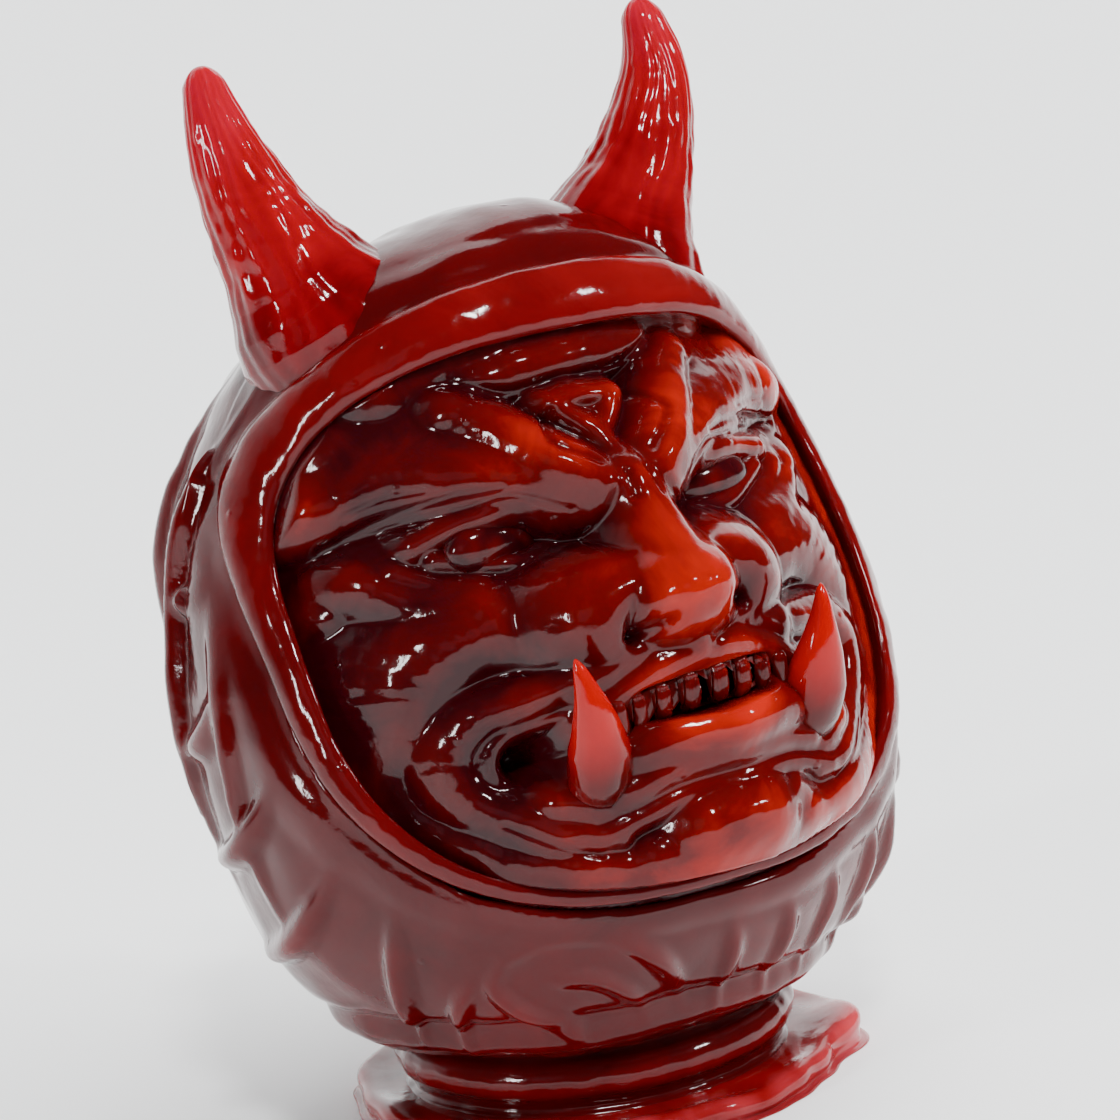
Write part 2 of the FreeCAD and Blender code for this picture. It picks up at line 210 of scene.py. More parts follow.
MIDDLE_ROLLS = [
    # nose
    [(0.0, 4.4, 3.1, 0.8), (0.0, 2.6, 4.3, 0.75), (0.0, 0.8, 5.7, 0.8), (0.0, -0.4, 6.6, 1.0)],
    [(-0.25, -0.8, 6.8, 1.05), (0.25, -0.8, 6.8, 1.05)],
    [(0.0, -1.2, 6.0, 0.6), (0.0, -2.4, 4.8, 0.5), (0.0, -3.1, 4.3, 0.5)],
    # upper lip
    [(-5.6, -5.7, 1.9, 0.4), (-4.2, -4.6, 3.0, 0.5), (-2.2, -3.8, 3.9, 0.6), (-0.6, -3.5, 4.3, 0.6),
     (0.6, -3.5, 4.3, 0.6),
     (2.2, -3.8, 3.9, 0.6), (4.2, -4.6, 3.0, 0.5), (5.6, -5.7, 1.9, 0.4)],
    [(-4.6, -3.4, 2.7, 0.8), (-2.4, -2.8, 3.6, 0.9), (2.4, -2.8, 3.6, 0.9), (4.6, -3.4, 2.7, 0.8)],
    # lower lip
    [(-6.0, -8.0, 1.8, 0.5), (-4.4, -7.3, 3.1, 0.7), (-2.0, -7.0, 4.3, 0.9), (0.4, -6.8, 4.9, 1.0),
     (2.4, -7.0, 4.5, 0.9), (4.4, -7.2, 3.4, 0.75),
     (6.0, -8.0, 1.8, 0.5)],
    [(-4.6, -8.5, 2.8, 0.5), (-1.8, -8.1, 3.9, 0.6), (1.8, -8.1, 3.9, 0.6), (4.6, -8.5, 2.8, 0.5)],
    # folds over the chin
    [(-5.6, -10.0, 2.1, 0.35), (-3.0, -9.4, 3.2, 0.4), (0.0, -9.2, 3.7, 0.4), (3.0, -9.4, 3.2, 0.4),
     (5.6, -10.0, 2.1, 0.35)],
    # chin
    [(-1.3, -11.0, 4.1, 1.4), (0.0, -10.9, 4.5, 1.5), (1.3, -11.0, 4.2, 1.4)],
    [(3.0, -10.9, 3.3, 0.8), (3.8, -11.6, 2.6, 0.9)],
    [(-3.4, -11.6, 2.9, 1.0), (0.0, -12.6, 3.1, 1.0), (3.4, -11.7, 2.7, 0.9)],
    # three-cornered fold between the brows
    [(-1.6, 8.5, 0.2, 0.3), (-0.3, 8.6, 0.6, 0.3), (1.0, 8.4, 0.4, 0.3)],
    [(-1.7, 8.5, 0.1, 0.3), (-1.0, 7.7, 0.7, 0.35), (-0.4, 6.9, 1.2, 0.35), (0.0, 5.4, 2.2, 0.35)],
    [(1.1, 8.3, 0.4, 0.3), (0.7, 7.6, 0.8, 0.35), (0.0, 6.8, 1.2, 0.35)],
    [(-0.4, 8.3, 0.1, 0.8), (-0.2, 7.8, 0.3, 0.7)],
    # folds across the forehead
    [(-4.0, 10.2, -1.8, 0.8), (-1.6, 10.4, -0.8, 1.0), (1.6, 10.4, -0.8, 1.0), (4.0, 10.2, -1.8, 0.8)],
    [(-7.0, 10.8, -3.6, 1.6), (-3.4, 11.4, -2.0, 0.9), (0.0, 11.7, -1.4, 0.9), (3.4, 11.4, -2.0, 0.9),
     (7.0, 10.8, -3.6, 1.6)],
]
# Narrow creases: (u, v, depth, width), on both sides of the face.
SIDE_CREASES = [
    [(2.0, 8.3, 0.15, 0.2), (3.0, 7.0, 0.35, 0.25), (1.4, 5.6, 0.3, 0.2)],
    [(1.7, -1.7, 0.5, 0.35), (2.7, -1.9, 0.55, 0.35)],
    [(6.4, -5.8, 1.0, 0.8), (7.4, -6.2, 1.3, 1.0), (6.8, -7.2, 1.0, 0.8)],
    [(0.5, 4.9, 0.25, 0.18), (0.7, 3.8, 0.25, 0.18)],
    [(0.3, 9.7, 0.12, 0.18), (3.0, 9.7, 0.2, 0.2), (5.0, 10.6, 0.15, 0.2)],
    [(5.4, 5.6, 0.16, 0.16), (7.0, 5.8, 0.2, 0.2), (9.6, 5.7, 0.25, 0.25), (11.6, 5.2, 0.3, 0.3)],
    [(3.0, 3.8, 0.1, 0.12), (5.0, 5.2, 0.15, 0.12), (7.0, 5.1, 0.1, 0.12)],
    [(8.0, 6.4, 0.1, 0.12), (9.4, 6.6, 0.14, 0.15), (10.8, 6.4, 0.1, 0.12)],
    [(9.2, -8.4, 0.12, 0.12), (7.6, -9.9, 0.2, 0.14), (6.0, -10.8, 0.1, 0.12)],
]


def tilt(u, v, angle):
    """Turn a place on the face plane by an angle."""
    return u * math.cos(angle) - v * math.sin(angle), u * math.sin(angle) + v * math.cos(angle)


def blend_up(values, soft):
    """The highest of several fields, with soft joins."""
    top = np.max(values, axis=0)
    total = np.zeros_like(top)
    for x in values:
        total += np.exp((x - top) / soft)
    return top + soft * np.log(total)


def face_relief(u, v):
    """Height of the carved face over the face plane."""
    side, up = tilt(u, v, -FACE_TILT)
    drift = cloud(np.stack([side, up, 0 * up], -1), 9.0)
    side = side + 0.12 * drift
    up = up + 0.12 * cloud(np.stack([side, up, 0 * up], -1), 7.0, 9)
    both = np.sqrt(side * side + 0.01)
    values = [skin_height(u, v) - 1.9 + 1.0 * smooth_step(8.5, 11.5, side)]
    for roll in MIDDLE_ROLLS:
        away, own = along(side, up, rounded(roll))
        values.append(own[..., 0] - away ** 2 / (2.0 * own[..., 1]))
    for roll in SIDE_ROLLS:
        away, own = along(both, up, rounded(roll))
        values.append(own[..., 0] - away ** 2 / (2.0 * own[..., 1]))
    height = blend_up(values, 0.13)
    for crease in SIDE_CREASES:
        away, own = along(both, up, rounded(crease))
        height = height - own[..., 0] * np.exp(-(away / own[..., 1]) ** 2)
    mouth = 1.5 + 9.0 * (both / 4.8) ** 6 + 3.4 * (np.abs(up + 5.25) / 1.0) ** 4
    return -blend_up([-height, -mouth], 0.1)


# ---- mesh makers ---------------------------------------------------------
def finish_piece(bm, name, nodes, material, painted_light_and_tone):
    """Make the piece; the last argument gives each corner's painted glow and shade from 0 to 1, standing in
    for light through thin resin and shade in hollows, with some random tone.
    """
    bmesh.ops.recalc_face_normals(bm, faces=bm.faces)
    mesh = bpy.data.meshes.new(name)
    bm.to_mesh(mesh)
    bm.free()
    mesh.polygons.foreach_set("use_smooth", [True] * len(mesh.polygons))
    layer = mesh.attributes.new("painted_light_and_tone", "FLOAT", "POINT")
    layer.data.foreach_set("value", np.asarray(painted_light_and_tone, np.float32))
    mesh.materials.append(material)
    piece = bpy.data.objects.new(name, mesh)
    bpy.context.scene.collection.objects.link(piece)
    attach(piece, "root")
    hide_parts(*nodes)
    return piece


def place_all(bm, points):
    """Give every corner its place, from millimetres to metres."""
    for vert, p in zip(bm.verts, points * 0.001):
        vert.co = p


def ball(around, rings):
    """A closed ball mesh with, for each corner, its angle and its share of the way from top to bottom."""
    bm = bmesh.new()
    bmesh.ops.create_uvsphere(bm, u_segments=around, v_segments=rings, radius=1.0)
    p = np.array([v.co[:] for v in bm.verts])
    angle = np.arctan2(p[:, 1], p[:, 0])
    share = np.arccos(np.clip(p[:, 2], -1.0, 1.0)) / np.pi
    return bm, angle, share


# ---- resin ---------------------------------------------------------------
def resin(name, deep, middle, bright, cloudy=0.18, scatter=0.3, gloss=0.07, grain=0.08, pips=0.3):
    """Tinted casting resin, wet-looking on top: its colour runs from deep to bright with each corner's
    painted glow and shade value, which stands in for light through thin resin and shade in hollows.
    """
    material = bpy.data.materials.new(name)
    material.use_nodes = True
    nodes = material.node_tree.nodes
    links = material.node_tree.links
    shader = nodes["Principled BSDF"]
    place = nodes.new("ShaderNodeTexCoord")
    painted_light_and_tone = nodes.new("ShaderNodeAttribute")
    painted_light_and_tone.attribute_name = "painted_light_and_tone"
    swirl = nodes.new("ShaderNodeTexNoise")
    swirl.inputs["Scale"].default_value = 210.0
    swirl.inputs["Detail"].default_value = 6.0
    swirl.inputs["Roughness"].default_value = 0.6
    swirl.inputs["Distortion"].default_value = 1.4
    links.new(place.outputs["Object"], swirl.inputs["Vector"])
    spread = nodes.new("ShaderNodeMath")
    spread.operation = "MULTIPLY_ADD"
    spread.inputs[1].default_value = 4.0 * cloudy
    spread.inputs[2].default_value = -2.0 * cloudy
    links.new(swirl.outputs["Fac"], spread.inputs[0])
    total = nodes.new("ShaderNodeMath")
    total.operation = "ADD"
    links.new(painted_light_and_tone.outputs["Fac"], total.inputs[0])
    links.new(spread.outputs[0], total.inputs[1])
    # The ramp turns the painted glow and shade value into colour: the deep end is painted shade, the bright
    # end painted glow.
    ramp = nodes.new("ShaderNodeValToRGB")
    ramp.color_ramp.elements[0].position = 0.1
    ramp.color_ramp.elements[0].color = (*deep, 1.0)
    ramp.color_ramp.elements[1].position = 0.92
    ramp.color_ramp.elements[1].color = (*bright, 1.0)
    step = ramp.color_ramp.elements.new(0.5)
    step.color = (*middle, 1.0)
    links.new(total.outputs[0], ramp.inputs["Fac"])
    links.new(ramp.outputs["Color"], shader.inputs["Base Color"])
    wear = nodes.new("ShaderNodeTexNoise")
    wear.inputs["Scale"].default_value = 420.0
    wear.inputs["Detail"].default_value = 3.0
    links.new(place.outputs["Object"], wear.inputs["Vector"])
    rough = nodes.new("ShaderNodeMapRange")
    rough.inputs["To Min"].default_value = 0.6 * gloss
    rough.inputs["To Max"].default_value = 1.7 * gloss
    links.new(wear.outputs["Fac"], rough.inputs["Value"])
    links.new(rough.outputs["Result"], shader.inputs["Roughness"])
    ripple = nodes.new("ShaderNodeTexNoise")
    ripple.inputs["Scale"].default_value = 900.0
    ripple.inputs["Detail"].default_value = 4.0
    ripple.inputs["Roughness"].default_value = 0.55
    links.new(place.outputs["Object"], ripple.inputs["Vector"])
    dots = nodes.new("ShaderNodeTexVoronoi")
    dots.inputs["Scale"].default_value = 330.0
    links.new(place.outputs["Object"], dots.inputs["Vector"])
    dome = nodes.new("ShaderNodeMapRange")
    dome.inputs["From Min"].default_value = 0.0
    dome.inputs["From Max"].default_value = 0.09
    dome.inputs["To Min"].default_value = 1.0
    dome.inputs["To Max"].default_value = 0.0
    dome.interpolation_type = "SMOOTHSTEP"
    links.new(dots.outputs["Distance"], dome.inputs["Value"])
    fine = nodes.new("ShaderNodeBump")
    fine.inputs["Strength"].default_value = grain
    fine.inputs["Distance"].default_value = 0.0004
    links.new(ripple.outputs["Fac"], fine.inputs["Height"])
    raised = nodes.new("ShaderNodeBump")
    raised.inputs["Strength"].default_value = pips
    raised.inputs["Distance"].default_value = 0.00025
    links.new(dome.outputs["Result"], raised.inputs["Height"])
    links.new(fine.outputs["Normal"], raised.inputs["Normal"])
    links.new(raised.outputs["Normal"], shader.inputs["Normal"])
    shader.inputs["IOR"].default_value = 1.45
    shader.inputs["Specular IOR Level"].default_value = 0.3
    shader.inputs["Subsurface Weight"].default_value = scatter
    shader.inputs["Subsurface Radius"].default_value = (1.0, 0.12, 0.06)
    shader.inputs["Subsurface Scale"].default_value = 0.0012
    shader.inputs["Coat Weight"].default_value = 0.06
    shader.inputs["Coat Roughness"].default_value = 0.03
    return material


robe_resin = resin(
    "robe_resin", (0.028, 0.0008, 0.0012), (0.080, 0.0016, 0.0024), (0.19, 0.0040, 0.0050), cloudy=0.10)
face_resin = resin(
    "face_resin", (0.024, 0.0007, 0.0018), (0.092, 0.0020, 0.0018), (0.34, 0.0085, 0.0028), cloudy=0.16)
horn_resin = resin(
    "horn_resin", (0.08, 0.0008, 0.0020), (0.25, 0.0014, 0.0050), (0.40, 0.006, 0.026),
    cloudy=0.12, scatter=0.45)
tusk_resin = resin(
    "tusk_resin", (0.05, 0.0008, 0.0008), (0.30, 0.0010, 0.0012), (0.40, 0.0020, 0.0020),
    cloudy=0.04, scatter=0.5, pips=0.05)
foot_resin = resin(
    "foot_resin", (0.04, 0.0010, 0.0012), (0.16, 0.0030, 0.0042), (0.38, 0.035, 0.045),
    cloudy=0.12, scatter=0.4)


# ---- robe and hood -------------------------------------------------------
def rim_width(angle):
    """Width of the raised rim round the opening: wide over the brow, narrow under the chin."""
    s = np.sin(angle)
    near = 0.5 * np.clip(np.cos(angle), 0.0, 1.0) ** 2
    return 0.95 + near + 1.9 * np.clip(s, 0.0, 1.0) ** 2.2 - 0.55 * np.clip(-s, 0.0, 1.0) ** 1.5


EDGE_U, EDGE_V = opening(900)


def edge_distance(u, v):
    """Signed distance to the edge of the opening, negative inside."""
    away = np.empty(u.size)
    side = np.empty(u.size)
    flat_u, flat_v = u.ravel(), v.ravel()
    out_u = np.roll(EDGE_V, -1) - np.roll(EDGE_V, 1)
    out_v = np.roll(EDGE_U, 1) - np.roll(EDGE_U, -1)
    for a in range(0, u.size, 4000):
        du = flat_u[a:a + 4000, None] - EDGE_U
        dv = flat_v[a:a + 4000, None] - EDGE_V
        squares = du * du + dv * dv
        best = np.argmin(squares, axis=1)
        row = np.arange(len(best))
        away[a:a + 4000] = np.sqrt(squares[row, best])
        side[a:a + 4000] = np.sign(du[row, best] * out_u[best] + dv[row, best] * out_v[best])
    return (away * side).reshape(u.shape)


# Folds of the robe: (degrees round from the front, height, lift, radius). They run on both sides.
SIDE_FOLDS = [
    [(66, 34, -0.2, 0.8), (74, 29, 0.5, 0.9), (80, 23, 0.6, 1.0), (82, 16, 0.3, 0.9), (76, 9, -0.3, 0.7)],
    [(84, 36, -0.2, 0.7), (90, 31, 0.5, 0.9), (98, 25, 0.55, 0.9), (102, 18, 0.4, 0.9),
     (96, 10, -0.3, 0.7)],
    [(72, 25, -0.3, 0.5), (84, 21.5, 0.45, 0.6), (96, 19.5, 0.5, 0.6), (110, 19, -0.2, 0.5)],
    [(66, 20, -0.3, 0.5), (78, 16.5, 0.5, 0.6), (92, 14.5, 0.5, 0.6), (108, 14, -0.2, 0.5)],
    [(58, 16, -0.3, 0.5), (72, 12, 0.5, 0.6), (88, 10, 0.45, 0.6), (104, 9.6, -0.2, 0.5)],
    [(70, 30, -0.3, 0.5), (82, 27, 0.4, 0.6), (94, 26, 0.4, 0.6), (106, 26.5, -0.3, 0.5)],
    [(112, 37, -0.3, 0.8), (118, 30, 0.5, 1.0), (124, 22, 0.6, 1.1), (122, 13, 0.4, 1.0),
     (114, 7, -0.3, 0.8)],
    [(136, 36, -0.3, 0.8), (142, 29, 0.5, 1.0), (148, 20, 0.55, 1.1), (146, 11, 0.3, 1.0),
     (140, 6, -0.3, 0.8)],
    [(164, 34, -0.3, 0.9), (168, 26, 0.5, 1.1), (172, 17, 0.5, 1.1), (168, 8, -0.2, 0.9)],
    [(52, 13.5, -0.2, 0.5), (56, 10, 0.45, 0.6), (60, 7.2, 0.4, 0.6), (62, 5.4, -0.2, 0.5)],
    [(40, 9.8, -0.3, 0.4), (46, 8.2, 0.3, 0.5), (50, 6.4, 0.3, 0.5), (50, 5.0, -0.2, 0.5)],
]
FRONT_FOLDS = [
    [(36, 10.2, 0.0, 0.5), (27, 11.2, 0.3, 0.6), (16, 10.6, 0.35, 0.6), (8, 8.6, 0.3, 0.6),
     (3, 6.0, -0.1, 0.6)],
    [(36, 10.2, 0.0, 0.5), (39, 8.8, 0.3, 0.6), (35, 7.2, 0.35, 0.6), (26, 6.0, 0.2, 0.6)],
    [(28, 8.7, -0.1, 0.5), (21, 8.6, 0.25, 0.6), (14, 7.2, 0.2, 0.5), (11, 5.8, -0.2, 0.5)],
    [(-4, 10.6, -0.2, 0.5), (-6, 8.2, 0.25, 0.6), (-5, 5.6, 0.0, 0.6)],
    [(-15, 11.0, -0.2, 0.5), (-18, 8.4, 0.3, 0.7), (-17, 5.8, 0.0, 0.6)],
    [(-27, 11.6, -0.2, 0.5), (-30, 9.0, 0.3, 0.7), (-29, 6.0, 0.0, 0.6)],
    [(-40, 12.6, -0.2, 0.5), (-44, 9.8, 0.35, 0.7), (-43, 6.4, 0.0, 0.6)],
]


def robe_folds(degrees, z):
    """Lift of the robe's folds; degrees run round towards the figurine's own right."""
    x = degrees * 0.28
    values = [np.zeros_like(x)]
    for folds, where in ((SIDE_FOLDS, np.abs(x)), (FRONT_FOLDS, x)):
        for fold in folds:
            stroke = rounded([(a * 0.28, height, lift, radius) for a, height, lift, radius in fold])
            away, own = along(where, z, stroke)
            values.append(own[..., 0] - away ** 2 / (2.0 * own[..., 1]))
    return blend_up(values, 0.09) - 0.09 * math.log(2.0)


def body_profile():
    z = np.concatenate([BODY_TOP - np.linspace(0.0, 1.0, 400) ** 2 * 3.0, np.linspace(39.0, HEM_Z, 800)[1:]])
    radius = half_width(z)
    radius[0] = 0.0
    travel = np.concatenate([[0.0], np.cumsum(np.hypot(np.diff(radius), np.diff(z)))])
    return travel / travel[-1], radius, z


def make_robe():
    bm, angle, share = ball(380, 250)
    travel, radii, heights = body_profile()
    main = np.clip(share / 0.93, 0.0, 1.0)
    radius = np.interp(main, travel, radii)
    z = np.interp(main, travel, heights)
    under = np.clip((share - 0.93) / 0.07, 0.0, 1.0)
    radius = radius * (1.0 - under)
    slope_r = np.gradient(radii, travel)
    slope_z = np.gradient(heights, travel)
    nr = np.interp(main, travel, -slope_z)
    nz = np.interp(main, travel, slope_r)
    length = np.hypot(nr, nz)
    nr, nz = nr / length, nz / length
    x = radius * np.cos(angle)
    y = lean(z) + DEPTH_SHARE * radius * np.sin(angle)
    points = np.stack([x, y, z], -1)
    normal = np.stack([nr * np.cos(angle), nr * np.sin(angle), nz], -1)
    degrees = np.degrees(np.arctan2(-np.cos(angle), -np.sin(angle)))
    u, v, h = face_place(points)
    front = y < 4.0
    away = np.full(x.shape, 50.0)
    away[front] = edge_distance(u[front], v[front])
    folds = robe_folds(degrees, z)
    fade = smooth_step(1.6, 3.4, away) * (1.0 - under) * smooth_step(41.5, 36.0, z)
    lift = 1.5 * folds * fade
    lift = lift + 0.16 * cloud(points, 11.0) * (1.0 - under) + 0.04 * cloud(points, 3.2, 5) * (1.0 - under)
    # a faint second channel outside the rim
    edge_angle = np.arctan2(v + 1.0, u)
    channel = away - rim_width(edge_angle)
    lift = lift - 0.14 * np.exp(-((channel - 0.35) / 0.35) ** 2)
    lift = lift + 0.07 * np.exp(-((channel - 1.1) / 0.5) ** 2)
    lift = lift - 0.04 * np.exp(-((channel - 1.9) / 0.3) ** 2)
    # rolled hem
    lift = lift + 0.35 * np.exp(-((z - 5.2) / 0.7) ** 2) * (1.0 - under)
    lift = lift - 0.25 * np.exp(-((z - 6.3) / 0.45) ** 2)
    points = points + normal * lift[:, None]
    inside = smooth_step(0.9, 0.1, away) * front
    points = points - OUTWARD * (inside * 3.4)[:, None]
    # Painted glow on the fold crests and painted shade in the fold hollows, lighter towards the hem, and
    # random tone.
    painted_light_and_tone = 0.33 + 0.30 * np.clip(folds, -0.2, 0.8) * fade
    painted_light_and_tone = painted_light_and_tone + 0.1 * smooth_step(16.0, 6.0, z) + 0.05 * cloud(points, 8.0, 3)
    place_all(bm, points)
    return finish_piece(bm, "robe", ["robe_body"], robe_resin, painted_light_and_tone)


def robe_normal(p):
    """Outward direction of the plain robe surface at points on it."""
    grow = 1e-3

    def level(q):
        w = np.maximum(half_width(q[..., 2]), 0.3)
        return (q[..., 0] / w) ** 2 + ((q[..., 1] - lean(q[..., 2])) / (DEPTH_SHARE * w)) ** 2
    d = np.stack([level(p + grow * e) - level(p - grow * e) for e in np.eye(3)], -1)
    return d / np.linalg.norm(d, axis=-1, keepdims=True)


def make_rim():
    stations, section = 900, 34
    bm = bmesh.new()
    # a torus-like band: spin one small circle round, then give every corner its place
    bmesh.ops.create_circle(bm, segments=section, radius=0.2, matrix=Matrix.Translation((1, 0, 0))
                            @ Matrix.Rotation(math.pi / 2, 4, "X"))
    bmesh.ops.spin(bm, geom=bm.verts[:] + bm.edges[:], axis=(0, 0, 1), cent=(0, 0, 0), angle=2 * math.pi,
                   steps=stations, use_merge=True)
    bmesh.ops.remove_doubles(bm, verts=bm.verts, dist=1e-5)
    p = np.array([w.co[:] for w in bm.verts])
    turn = np.arctan2(p[:, 1], p[:, 0])
    round_it = np.arctan2(p[:, 2], np.hypot(p[:, 0], p[:, 1]) - 1.0)
    where = (turn / (2 * np.pi)) % 1.0 * len(EDGE_U)
    lap = np.arange(len(EDGE_U) + 1)
    eu = np.interp(where, lap, np.append(EDGE_U, EDGE_U[0]))
    ev = np.interp(where, lap, np.append(EDGE_V, EDGE_V[0]))
    tu = np.roll(EDGE_U, -2) - np.roll(EDGE_U, 2)
    tv = np.roll(EDGE_V, -2) - np.roll(EDGE_V, 2)
    length = np.hypot(tu, tv)
    ou = np.interp(where, lap, np.append(tv / length, tv[0] / length[0]))
    ov = np.interp(where, lap, np.append(-tu / length, -tu[0] / length[0]))
    angle = np.arctan2(ev + 1.0, eu)
    width = rim_width(angle)
    tall = 0.5 + 0.2 * np.clip(np.sin(angle), 0.0, 1.0) - 0.2 * np.clip(-np.sin(angle), 0.0, 1.0)
    a = np.abs(round_it)
    over = round_it >= 0.0
    d = width / 2 + (width / 2 + 0.08) * np.cos(a)
    e = np.where(over, tall * np.clip(np.sin(a), 0.0, 1.0) ** 0.7 - 0.12, 0.0)
    d = np.where(over, d, width / 2 + (width / 2 + 0.08) * np.clip(np.cos(a) * 1.25, -1, 1))
    down = np.where(over, 0.0, np.clip(np.sin(a) * 1.4, 0.0, 1.0) * 3.6)
    u, v = eu + ou * d, ev + ov * d
    skin = face_point(u, v, skin_height(u, v))
    normal = robe_normal(skin)
    wobble = 0.05 * cloud(skin, 3.6) + 0.012 * cloud(skin, 1.1, 6)
    points = skin + normal * (e + np.where(over, wobble, 0.0))[:, None] - OUTWARD * down[:, None]
    # Painted light: the rim is lighter over the brow and on the figurine's own left, the lit side, and
    # lighter along the crest of the band, with random tone.
    painted_light_and_tone = 0.40 + 0.16 * np.clip(np.sin(angle), 0, 1) + 0.14 * np.clip(np.cos(angle), 0, 1)
    painted_light_and_tone = painted_light_and_tone + 0.08 * np.where(over, np.sin(a), 0.0) + 0.05 * cloud(skin, 6.0, 2)
    place_all(bm, points)
    return finish_piece(bm, "hood_rim", ["robe_body"], robe_resin, painted_light_and_tone)


# ---- face ----------------------------------------------------------------
def blurred(field, spread):
    k = np.exp(-0.5 * (np.arange(-3 * spread, 3 * spread + 1) / spread) ** 2)
    k /= k.sum()
    pad = 3 * spread
    out = np.pad(field, pad, mode="edge")
    out = np.apply_along_axis(lambda row: np.convolve(row, k, "valid"), 0, out)
    return np.apply_along_axis(lambda row: np.convolve(row, k, "valid"), 1, out)


def make_face():
    across, up = 320, 285
    bm = bmesh.new()
    bmesh.ops.create_grid(bm, x_segments=across, y_segments=up, size=1.0)
    flat = np.array([w.co[:] for w in bm.verts])
    columns = np.rint((flat[:, 0] + 1.0) / 2.0 * across).astype(int)
    rows = np.rint((flat[:, 1] + 1.0) / 2.0 * up).astype(int)
    u1 = np.linspace(-14.9, 14.9, columns.max() + 1)
    v1 = np.linspace(-14.0, 12.5, rows.max() + 1)
    u, v = np.meshgrid(u1, v1, indexing="ij")
    height = face_relief(u, v)
    away = edge_distance(u, v)
    skin = skin_height(u, v)
    margin = np.where(v < -9.5, 0.5, 1.3)
    roof = skin - 0.4 + 9.0 * smooth_step(0.0, 1.0, -away / margin)
    height = -blend_up([-height, -roof], 0.12)
    here = np.stack([u, v, height], -1)
    height = height + 0.032 * cloud(here, 2.0) + 0.009 * cloud(here, 0.8, 7)
    proud = height - blurred(height, 9)
    side, level = tilt(u, v, -FACE_TILT)
    # Painted light patches: painted glow on the nose, brows and chin, painted shade in the pockets beside the
    # mouth, and a painted side light, lighter on the figurine's own left and darker on its right.
    painted_light_patches = 0.34 * np.exp(-(side / 3.6) ** 2 - ((level + 0.5) / 6.5) ** 2)
    painted_light_patches = painted_light_patches + 0.22 * np.exp(-((np.abs(side) - 4.0) / 2.6) ** 2 - ((level - 7.2) / 1.8) ** 2)
    painted_light_patches = painted_light_patches + 0.22 * np.exp(-(side / 5.5) ** 2 - ((level + 9.5) / 3.4) ** 2)
    painted_light_patches = painted_light_patches + 0.14 * smooth_step(2.0, 9.0, side) - 0.10 * smooth_step(5.0, 12.0, -side)
    painted_light_patches = painted_light_patches - 0.14 * np.exp(-((np.abs(side) - 7.6) / 2.4) ** 2 - ((level + 6.0) / 2.4) ** 2)
    # Raised forms get painted glow and hollows painted shade, on top of the patches and random tone.
    painted_light_and_tone = 0.24 + painted_light_patches + 0.42 * np.clip(proud, -0.8, 0.9) + 0.07 * cloud(np.stack([u, v, height], -1), 5.0, 4)
    # Painted shade in the crease along the edge of the opening on the figurine's own right, and painted light
    # near that edge on its own left.
    painted_light_and_tone = painted_light_and_tone - 0.16 * smooth_step(0.8, 0.0, -away) * smooth_step(8.0, -4.0, side)
    painted_light_and_tone = painted_light_and_tone + 0.30 * smooth_step(-2.4, -0.6, away) * smooth_step(3.0, 9.0, side)
    bm.verts.ensure_lookup_table()
    for vert, p in zip(bm.verts, face_point(u, v, height)[columns, rows] * 0.001):
        vert.co = p
    keep = away[columns, rows] < 0.75
    outside = [vert for vert, inside in zip(bm.verts, keep) if not inside]
    bmesh.ops.delete(bm, geom=outside, context="VERTS")
    columns, rows = columns[keep], rows[keep]
    rim_edges = [e for e in bm.edges if e.is_boundary]
    made = bmesh.ops.extrude_edge_only(bm, edges=rim_edges)["geom"]
    back = [g for g in made if isinstance(g, bmesh.types.BMVert)]
    for vert in back:
        p = np.array(vert.co[:]) * 1000.0
        pu, pv, _ = face_place(p)
        vert.co = face_point(pu * 0.75, pv * 0.75, -8.5) * 0.001
    bmesh.ops.holes_fill(bm, edges=[e for e in bm.edges if e.is_boundary], sides=0)
    shade = np.concatenate([painted_light_and_tone[columns, rows], np.full(len(bm.verts) - len(columns), 0.1)])
    return finish_piece(bm, "oni_face", ["face"], face_resin, shade)


# ---- horns and tusks -----------------------------------------------------
def along_path(path, share):
    """Smooth place and direction along a path of points."""
    dense = rounded([tuple(p) + (0.0,) for p in path], 12)[:, :3]
    travel = np.concatenate([[0.0], np.cumsum(np.linalg.norm(np.diff(dense, axis=0), axis=1))])
    at = share * travel[-1]
    centre = np.stack([np.interp(at, travel, dense[:, k]) for k in range(3)], -1)
    slope = np.gradient(dense, travel, axis=0)
    ahead = np.stack([np.interp(at, travel, slope[:, k]) for k in range(3)], -1)
    return centre, ahead / np.linalg.norm(ahead, axis=-1, keepdims=True)


def make_shoot(name, node, material, path, table, blunt, detail, around=128, rings=220):
    """A tapered shoot such as a horn: table holds (share of length from the root, radius)."""
    bm, angle, share = ball(around, rings)
    t = 1.0 - share
    centre, ahead = along_path(path, t)
    side = np.cross(ahead, [0.0, 1.0, 0.0])
    side /= np.linalg.norm(side, axis=-1, keepdims=True)
    front = np.cross(side, ahead)
    radius = np.interp(t, [row[0] for row in table], [row[1] for row in table])
    tip = np.clip((t - (1.0 - blunt)) / blunt, 0.0, 1.0)
    root = np.clip((0.04 - t) / 0.04, 0.0, 1.0)
    radius = radius * np.sqrt(np.clip(1.0 - tip ** 2, 0.0, 1.0)) * np.sqrt(np.clip(1.0 - root ** 2, 0.0, 1.0))
    lift, painted_light_and_tone = detail(angle, t, centre)
    r = radius + lift * np.minimum(1.0, radius)
    points = centre + side * (r * np.cos(angle))[:, None] + front * (r * np.sin(angle))[:, None]
    place_all(bm, points)
    return finish_piece(bm, name, [node], material, painted_light_and_tone)


